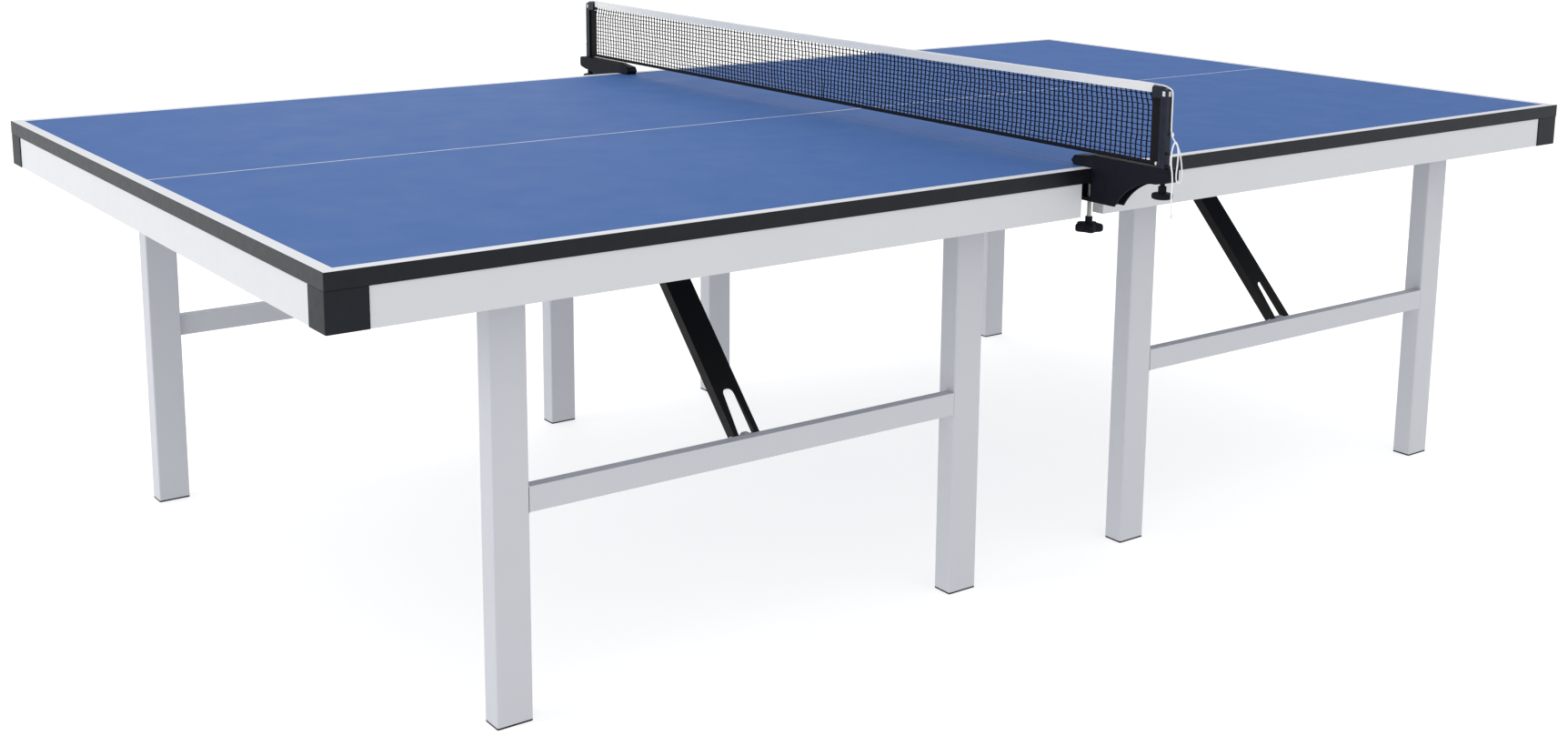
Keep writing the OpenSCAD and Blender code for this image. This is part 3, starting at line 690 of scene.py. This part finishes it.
def make_marks():
    """Small pale inserts let into the posts below their tops, and a fine raised line down each post."""
    w, h, t = MARK_HALF_W, MARK_HALF_H, MARK_T
    for place, side in SIDES.items():
        low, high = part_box(f"post_{place}")
        z = high[2] - MARK_DROP
        y = -POST_MIDDLE * side
        bm = bmesh.new()
        add_box(bm, (low[0] - t, y - w, z - h), (low[0] + t, y + w, z + h))
        if side > 0:
            out = y - MARK_OUT
            add_box(bm, (-w, out - t, z - h), (w, out + t, z + h))
        bevel_sharp(bm, 0.2 * MM, 2)
        name = f"post_marks_{place}"
        new_piece(name, mesh_from(name, bm), MARK_GREY, "net_frame")
        bm = bmesh.new()
        for x in (low[0], high[0]):
            add_box(bm, (x - t, y - 0.5 * MM, low[2] + POST_LINE_START), (x + t, y + 0.5 * MM, z - 2 * h))
        bevel_sharp(bm, 0.2 * MM, 2)
        name = f"post_lines_{place}"
        new_piece(name, mesh_from(name, bm), POST_BLACK, "net_frame")


for place, side in SIDES.items():
    softened(f"clamp_{place}", CLAMP_BLACK, 1.0, 3)
    softened(f"clamp_pad_{place}", RUBBER, 0.5)
    softened(f"post_{place}", POST_BLACK, 0.7)
    softened(f"cord_cleat_{place}", ZINC, 0.2)
    make_screw(f"clamp_screw_{place}")
    make_knob(f"clamp_knob_{place}", side)
    make_wheel(f"height_wheel_{place}")
make_marks()

# ---------- net, tape, hem and sleeves ----------

THREAD_STEP = 11.4 * MM
THREAD_D = 2.5 * MM
ROW_D = 1.6 * MM
ROWS = 14
TAPE_DROOP = 4.5 * MM
HEM_H = 6.5 * MM
SLEEVE_W = 21 * MM
SLACK = 2.2 * MM
SHEAR = 4.2 * MM
WAVE = 1.7 * MM
END_PULL = 11 * MM
END_PULL_FROM = 0.78
FOOT_PULL = 3 * MM
TAPE_SIZE = (15 * MM, 1.95 * MM, 1.8 * MM, 0.2 * MM)
HEM_SIZE = (HEM_H, 1.9 * MM, 1.8 * MM, 0.2 * MM)
SLEEVE_SIZE = (SLEEVE_W, 1.9 * MM, 1.8 * MM, 0.25 * MM)
STITCH_STEP = 3.4 * MM
SEAM_DROP = 12.8 * MM
SEAM_OUT = 1.8 * MM
STRIP_RINGS = 300
SLEEVE_RINGS = 40
TAPE_END = TAPE_HIGH[1]
NET_END = NET_HIGH[1]


def droop(y):
    """How far the tape hangs below its ends."""
    return TAPE_DROOP * max(0.0, 1 - (y / TAPE_END) ** 2)


def net_point(y, share):
    """A point of the netting: share is 0 at the hem and 1 at the tape."""
    low = NET_LOW[2] + 3 * MM
    high = TAPE_LOW[2] + 4 * MM - droop(y)
    bulge = math.sin(math.pi * share)
    slack = noise.noise(Vector((y * 9, share * 1.5, 0))) * SLACK * bulge
    shear = noise.noise(Vector((y * 5, 3.1, share * 2))) * SHEAR * share
    wave = noise.noise(Vector((y * 37, share * 5, 7))) * WAVE
    held = abs(y / NET_END) ** 5
    pulled = END_PULL * held * max(0.0, (share - END_PULL_FROM) / (1 - END_PULL_FROM))
    pulled += FOOT_PULL * (1 - share) ** 2
    along = y + shear + wave - math.copysign(pulled, y)
    return Vector((slack, along, low + (high - low) * share + wave * 0.6))


def make_net():
    end = NET_END - SLEEVE_W + 3 * MM
    count = int(end / THREAD_STEP)
    bm = bmesh.new()
    for i in range(-count, count + 1):
        points = [net_point(i * THREAD_STEP, k / 36) for k in range(37)]
        add_tube(bm, points, THREAD_D / 2, sides=6, shape=lambda i, k: 1.2 if i % 3 == 0 else 0.94)
    for row in range(1, ROWS):
        rings = 4 * (count + 1)
        points = [net_point(end * k / rings, row / ROWS) for k in range(-rings, rings + 1)]
        add_tube(bm, points, ROW_D / 2, sides=6, shape=lambda i, k: 1.45 if i % 4 == 0 else 1.0)
    area = sum(f.calc_area() for f in bm.faces) / 2
    piece = new_piece("netting", mesh_from("netting", bm, 80), TWINE, "net_frame")
    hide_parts("net")
    return piece, area


def fold_section(width, bulge, skirt, thickness):
    """Pairs of (outer, inner) points of a strip folded over a cord: (across, depth from the fold)."""
    pairs = []
    arc = [math.pi * (1 - i / 8) for i in range(9)]
    left = [(-skirt, width), (-skirt, width * 0.7), (-skirt, bulge * 2.6)]
    for across, depth in left:
        pairs.append(((across, depth), (across + thickness, depth)))
    for a in arc:
        c, sn = math.cos(a), math.sin(a)
        inner = bulge - thickness
        pairs.append(((bulge * c, bulge - bulge * sn), (inner * c, bulge - inner * sn)))
    for across, depth in reversed(left):
        pairs.append(((-across, depth), (-across - thickness, depth)))
    return pairs


def folded_strip(name, spine, into, size, look, body="net_frame", ripple=0.3):
    """Sweeps a folded strip of cloth along spine; its open edges point along into."""
    width, bulge, skirt, thickness = size
    pairs = fold_section(width, bulge, skirt, thickness)
    bm = bmesh.new()
    rings = []
    for point in spine:
        ring = []
        for pair in pairs:
            for across, depth in pair:
                sway = noise.noise(Vector((point.y * 14, point.z * 14, depth * 60))) * ripple * MM
                out = Vector((across + sway * depth / width, 0, 0))
                ring.append(bm.verts.new(point + out + into * depth))
        rings.append(ring)
    outer = list(range(0, 2 * len(pairs), 2))
    loop = outer + [k + 1 for k in reversed(outer)]
    for a, b in zip(rings, rings[1:]):
        for k, n in zip(loop, loop[1:] + loop[:1]):
            bm.faces.new((a[k], a[n], b[n], b[k]))
    for ring in (rings[0], rings[-1]):
        for k in outer[:-1]:
            bm.faces.new((ring[k], ring[k + 2], ring[k + 3], ring[k + 1]))
    piece = new_piece(name, mesh_from(name, bm, 50), look, body)
    return piece


def add_stitches(bm, points, across, length=2.2 * MM, radius=0.22 * MM):
    """Short raised stitches at points along a seam, on both faces of the cloth."""
    for i, point in enumerate(points[:-1]):
        ahead = (points[i + 1] - point).normalized() * length
        for s in (-1, 1):
            start = point + Vector((s * across, 0, 0))
            lift = Vector((s * radius * 0.8, 0, 0))
            add_tube(bm, [start, start + ahead / 2 + lift, start + ahead], radius, sides=5)


def make_net_set():
    netting, area = make_net()
    spine = []
    for i in range(STRIP_RINGS + 1):
        y = -TAPE_END + 2 * TAPE_END * i / STRIP_RINGS
        ripple = noise.noise(Vector((y * 16, 0, 0))) * 0.35 * MM
        spine.append(Vector((0, y, TAPE_HIGH[2] - droop(y) + ripple)))
    tape = folded_strip("top_tape", spine, Vector((0, 0, -1)), TAPE_SIZE, TAPE_CLOTH)
    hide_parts("net_tape")
    hem_end = NET_END - SLEEVE_W
    spine = [Vector((0, -hem_end + 2 * hem_end * i / STRIP_RINGS, NET_LOW[2] + 0.1 * MM))
             for i in range(STRIP_RINGS + 1)]
    folded_strip("bottom_hem", spine, Vector((0, 0, 1)), HEM_SIZE, HEM_CLOTH)
    for place, side in SIDES.items():
        rise = TAPE_LOW[2] - 8.5 * MM - NET_LOW[2]
        spine = [Vector((0, -side * NET_END, NET_LOW[2] + rise * i / SLEEVE_RINGS))
                 for i in range(SLEEVE_RINGS + 1)]
        folded_strip(f"end_sleeve_{place}", spine, Vector((0, side, 0)), SLEEVE_SIZE, HEM_CLOTH)
    bm = bmesh.new()
    count = round(2 * TAPE_END / STITCH_STEP)
    seam = []
    for i in range(count + 1):
        y = -TAPE_END + 1 * MM + (2 * TAPE_END - 2 * MM) * i / count
        seam.append(Vector((0, y, TAPE_HIGH[2] - droop(y) - SEAM_DROP)))
    add_stitches(bm, seam, SEAM_OUT)
    mesh = mesh_from("tape_stitches", bm, 60)
    stitches = new_piece("tape_stitches", mesh, CORD_WHITE, "net_frame")
    knot_at = (-2.6 * MM, -NET_END + 6 * MM, NET_LOW[2] + 4 * MM)
    make_knot("bottom_cord_knot", knot_at, 0.2, 0.75 * MM)


make_net_set()

# ---------- floor and light ----------


FLOOR_REACH = 40
FLOOR_DROP = 0.3 * MM


def make_floor():
    bm = bmesh.new()
    for x, y in ((-1, -1), (1, -1), (1, 1), (-1, 1)):
        bm.verts.new((x * FLOOR_REACH, y * FLOOR_REACH, -FLOOR_DROP))
    bm.faces.new(list(bm.verts))
    mesh = bpy.data.meshes.new("studio_floor")
    bm.to_mesh(mesh)
    bm.free()
    look = Look("pale_paper_floor", 0.85, Specular_IOR_Level=0.1)
    look.colour(look.mix(look.noise(2), (0.50, 0.50, 0.505, 1), (0.53, 0.53, 0.535, 1)))
    look.shader.inputs["Emission Color"].default_value = (1, 1, 1, 1)
    look.shader.inputs["Emission Strength"].default_value = 0.66
    mesh.materials.append(look.material)
    floor = bpy.data.objects.new("studio_floor", mesh)
    bpy.context.collection.objects.link(floor)


def add_area(name, at, target, size, power):
    data = bpy.data.lights.new(name, "AREA")
    data.shape = "DISK"
    data.size = size
    data.energy = power
    light = bpy.data.objects.new(name, data)
    light.location = at
    light.rotation_mode = "QUATERNION"
    light.rotation_quaternion = (Vector(target) - Vector(at)).to_track_quat("-Z", "Y")
    bpy.context.collection.objects.link(light)


def make_world():
    world = bpy.data.worlds.new("studio")
    world.use_nodes = True
    background = world.node_tree.nodes["Background"]
    background.inputs["Color"].default_value = (1.0, 1.0, 1.0, 1)
    background.inputs["Strength"].default_value = 1.0
    bpy.context.scene.world = world
    bpy.context.scene.view_settings.view_transform = "Standard"


make_floor()
make_world()
add_area("side_light", (-6.5, 2.0, 2.2), (-0.4, 0.0, 0.5), 4.0, 106)
add_area("back_light", (2.0, 6.0, 3.0), (0.2, 0.0, 0.5), 4.0, 40)
